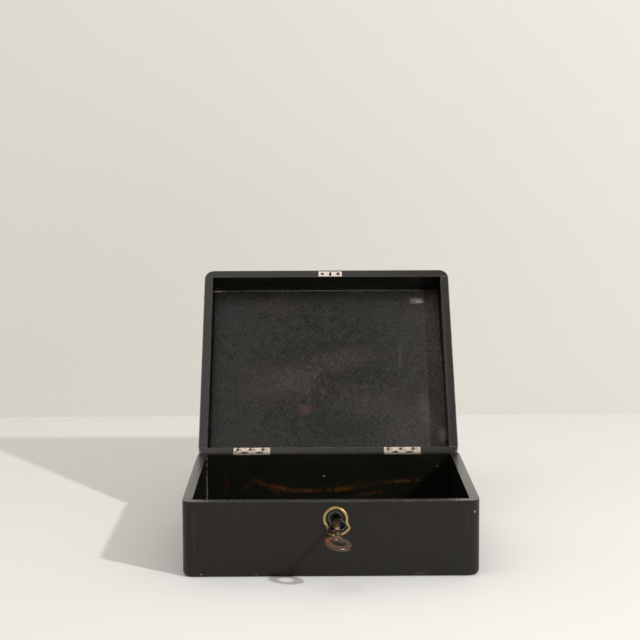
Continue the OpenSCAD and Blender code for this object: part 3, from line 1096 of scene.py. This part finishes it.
class DEEDBOX_OT_key(bpy.types.Operator):
    """Hollow key with a collar, a round ring and a bit"""

    bl_idname = "deedbox.key"
    bl_label = "Key"

    def execute(self, context):
        metal = context.scene.deedbox_metal
        # In mm, with the key upright: how high the ring's middle is, its radius, how far it is
        # off the shank's line, the half sizes of its band, and the bit's middle and size
        ring_at, ring_r, ring_shift, ring_band = 58.6, 9.4, 0.8, (3.5, 2.1)
        bit_at, bit_size = (5.5, 0, 3.25), (6.8, 1.7, 2.3)
        shape = bmesh.new()
        # Turned outline from the barrel's mouth to the ring, as radius and place along the key
        outline = [
            (0, 14), (1.55, 14), (1.55, 2), (2.5, 2), (2.8, 2.5), (2.8, 27.3), (2.6, 27.6),
            (2.9, 28.1), (3.16, 29), (3.2, 30), (3.16, 31), (2.9, 31.9), (2.4, 32.6), (2.3, 33.5),
            (2.3, 37.6), (2.55, 38.6), (2.85, 39.4), (2.85, 40.6), (2.5, 41.5), (2.4, 43),
            (2.55, 46), (2.9, 48.4), (2.6, 49.6), (0, 50.2),
        ]
        verts = [shape.verts.new((r * MM, 0, s * MM)) for r, s in outline]
        edges = [shape.edges.new(pair) for pair in zip(verts, verts[1:])]
        bmesh.ops.spin(
            shape,
            geom=verts + edges,
            cent=(0, 0, 0),
            axis=(0, 0, 1),
            angle=2 * math.pi,
            steps=40,
            use_merge=True,
        )
        ring = bmesh.ops.create_circle(shape, segments=28, radius=1)["verts"]
        bmesh.ops.scale(shape, vec=(ring_band[0] * MM, ring_band[1] * MM, 1), verts=ring)
        start = ((ring_r - ring_shift) * MM, 0, ring_at * MM)
        bmesh.ops.translate(shape, vec=start, verts=ring)
        ring_edges = {e for v in ring for e in v.link_edges}
        bmesh.ops.spin(
            shape,
            geom=ring + list(ring_edges),
            cent=(-ring_shift * MM, 0, ring_at * MM),
            axis=(0, 1, 0),
            angle=2 * math.pi,
            steps=72,
            use_merge=True,
        )
        bit = bmesh.ops.create_cube(shape, size=1)["verts"]
        bmesh.ops.scale(shape, vec=[c * MM for c in bit_size], verts=bit)
        bmesh.ops.translate(shape, vec=[c * MM for c in bit_at], verts=bit)
        bmesh.ops.remove_doubles(shape, verts=shape.verts, dist=1e-7)
        bmesh.ops.recalc_face_normals(shape, faces=shape.faces)
        rust = [((-3, -163, 44), (5, 9, 5), LEVEL)]
        rubbed_shank = [((4.6, -126, 50), (4, 9, 4), LEVEL)]
        collars = [((4.9, -137.5, 48), (4, 3.5, 4), LEVEL), ((5.3, -152, 45), (5, 4, 3.5), LEVEL)]
        iron = metal_finish(
            "Browned iron",
            metal.key_brown,
            metal.dirt,
            roughness=0.32,
            grain_mm=1.2,
            dirt_share=0.3,
            stains=[
                (metal.copper, 0.85, 0.6, rust),
                ([c * 2.9 for c in metal.key_brown], 0.85, 0.6, rubbed_shank),
                (metal.collar, 0.75, 0.5, collars),
            ],
        )
        # The parts are fused into one skin, and the seams between them smoothed
        key = make_piece("key_iron", shape, ["key"], iron)
        fuse = key.modifiers.new("Fuse", "REMESH")
        fuse.mode = "VOXEL"
        fuse.voxel_size = 0.28 * MM
        fuse.use_smooth_shade = True
        soft = key.modifiers.new("Soften", "SMOOTH")
        soft.factor = 0.5
        soft.iterations = 4
        graph = bpy.context.evaluated_depsgraph_get()
        mesh = bpy.data.meshes.new_from_object(key.evaluated_get(graph))
        key.modifiers.clear()
        mesh.name = key.name
        place = (
            Matrix.Translation(KEY_FOOT * MM)
            @ Matrix.Rotation(math.radians(-KEY_LEAN), 4, "Y")
            @ Matrix.Rotation(math.radians(KEY_DROOP + 90), 4, "X")
            @ Matrix.Rotation(math.radians(-KEY_LEAN - KEY_ROLL), 4, "Z")
        )
        mesh.transform(place)
        if not mesh.materials:
            mesh.materials.append(iron)
        key.data = mesh
        return {"FINISHED"}


class DEEDBOX_OT_stage(bpy.types.Operator):
    """Floor, backdrop, lamps and camera"""

    bl_idname = "deedbox.stage"
    bl_label = "Stage"

    def execute(self, context):
        stage = context.scene.deedbox_stage
        # Half sizes of the floor and the backdrop (m)
        floor_half, wall_half = 4, 1.5
        shape = bmesh.new()
        bmesh.ops.create_grid(shape, x_segments=1, y_segments=1, size=floor_half)
        self.set_piece("floor", shape, self.matt("Matt floor", stage.floor, False))

        shape = bmesh.new()
        bmesh.ops.create_grid(shape, x_segments=1, y_segments=1, size=wall_half)
        middle = Matrix.Translation((0, stage.wall_y, wall_half))
        upright = Matrix.Rotation(math.radians(90), 4, "X")
        bmesh.ops.transform(shape, matrix=middle @ upright, verts=shape.verts)
        self.set_piece("backdrop", shape, self.matt("Matt wall", stage.backdrop, True))

        # A small lamp at the front right, and a broad one over the floor at the front left (m)
        key_distance, key_size, soft_size = 3, (0.1, 0.1), (1.6, 1.2)
        towards = Vector((1.072, -0.978, 1)).normalized()
        self.lamp(
            "key lamp", stage.key_watts, key_size, towards * key_distance, Vector((0, 0, 0))
        )
        self.lamp(
            "soft lamp",
            stage.soft_watts,
            soft_size,
            Vector((-0.55, -0.45, 2.1)),
            Vector((-0.55, -0.45, 0)),
        )

        world = bpy.data.worlds.new("sky")
        context.scene.world = world
        world.use_nodes = True
        tree = world.node_tree
        tree.nodes.clear()
        # The light comes from all round, but the camera sees the backdrop's colour there
        ray = add(tree, "LightPath").outputs["Is Camera Ray"]
        light = scaled(stage.sky_tint, stage.sky)
        seen = add(
            tree,
            "Mix",
            {FACTOR: ray, COLOUR_A: light, COLOUR_B: rgba(stage.backdrop)},
            data_type="RGBA",
        ).outputs[MIXED_COLOUR]
        sky = add(tree, "Background", {"Color": seen}).outputs[0]
        add(tree, "OutputWorld", {"Surface": sky})

        # The camera stands where the box's corners fit those in the photograph (mm, radians)
        camera = bpy.data.cameras.new("camera")
        camera.sensor_width = 36
        camera.lens = 95.71
        holder = bpy.data.objects.new("camera", camera)
        context.scene.collection.objects.link(holder)
        eye = Vector((-16.31, -1623.83, 406.13)) * MM
        pitch, roll, yaw = 0.11336, 0.00412, -0.00468
        holder.matrix_world = (
            Matrix.Translation(eye)
            @ Matrix.Rotation(yaw, 4, "Z")
            @ Matrix.Rotation(math.pi / 2 - pitch, 4, "X")
            @ Matrix.Rotation(-roll, 4, "Z")
        )
        context.scene.camera = holder
        context.scene.view_settings.view_transform = "Standard"
        return {"FINISHED"}

    def set_piece(self, name, shape, material):
        """Makes a mesh object that belongs to the stage."""
        mesh = bpy.data.meshes.new(name)
        shape.to_mesh(mesh)
        shape.free()
        mesh.materials.append(material)
        piece = bpy.data.objects.new(name, mesh)
        bpy.context.scene.collection.objects.link(piece)

    def matt(self, name, paint, one_sided):
        """Matt paint with faint clouds of 400 mm, clear from behind where it is one-sided."""
        material, tree, shader, place = start_finish(
            name, {"Roughness": 0.9, "Specular IOR Level": 0.2}
        )
        cloud = add(tree, "TexNoise", {"Vector": place, "Scale": 2.5}).outputs["Fac"]
        tone = add(
            tree,
            "Mix",
            {FACTOR: cloud, COLOUR_A: rgba(paint), COLOUR_B: scaled(paint, 0.97)},
            data_type="RGBA",
        ).outputs[MIXED_COLOUR]
        tree.links.new(tone, shader.inputs["Base Color"])
        if one_sided:
            behind = add(tree, "NewGeometry").outputs["Backfacing"]
            clear = add(tree, "BsdfTransparent").outputs[0]
            mixed = add(tree, "MixShader", {0: behind, 1: shader.outputs[0], 2: clear}).outputs[0]
            output = next(n for n in tree.nodes if n.bl_idname == "ShaderNodeOutputMaterial")
            tree.links.new(mixed, output.inputs["Surface"])
        return material

    def lamp(self, name, watts, size, place, target):
        """A flat lamp of that size at a place, turned to the target."""
        light = bpy.data.lights.new(name, "AREA")
        light.shape = "RECTANGLE"
        light.size, light.size_y = size
        light.energy = watts
        holder = bpy.data.objects.new(name, light)
        bpy.context.scene.collection.objects.link(holder)
        holder.location = place
        holder.rotation_mode = "QUATERNION"
        holder.rotation_quaternion = (target - place).to_track_quat("-Z", "Y")


OPERATORS = [
    DEEDBOX_OT_base,
    DEEDBOX_OT_lid,
    DEEDBOX_OT_lining,
    DEEDBOX_OT_hinges,
    DEEDBOX_OT_strike_plate,
    DEEDBOX_OT_keyhole_border,
    DEEDBOX_OT_lock,
    DEEDBOX_OT_key,
    DEEDBOX_OT_stage,
]
SETTINGS = {
    "deedbox_wood": DeedBoxWood,
    "deedbox_metal": DeedBoxMetal,
    "deedbox_stage": DeedBoxStage,
}


class DEEDBOX_PT_panel(bpy.types.Panel):
    """Lists the pieces and their sizes and colours"""

    bl_idname = "DEEDBOX_PT_panel"
    bl_label = "Deed box"
    bl_space_type = "VIEW_3D"
    bl_region_type = "UI"
    bl_category = "Deed box"

    def draw(self, context):
        for operator in OPERATORS:
            self.layout.operator(operator.bl_idname)
        for name, group in SETTINGS.items():
            settings = getattr(context.scene, name)
            for prop in group.__annotations__:
                self.layout.prop(settings, prop)


CLASSES = (*SETTINGS.values(), *OPERATORS, DEEDBOX_PT_panel)


def register():
    for cls in CLASSES:
        bpy.utils.register_class(cls)
    for name, group in SETTINGS.items():
        setattr(bpy.types.Scene, name, bpy.props.PointerProperty(type=group))


def unregister():
    for name in SETTINGS:
        delattr(bpy.types.Scene, name)
    for cls in reversed(CLASSES):
        bpy.utils.unregister_class(cls)


def main():
    register()
    for operator in OPERATORS:
        group, call = operator.bl_idname.split(".")
        getattr(getattr(bpy.ops, group), call)()


if __name__ == "__main__":
    main()
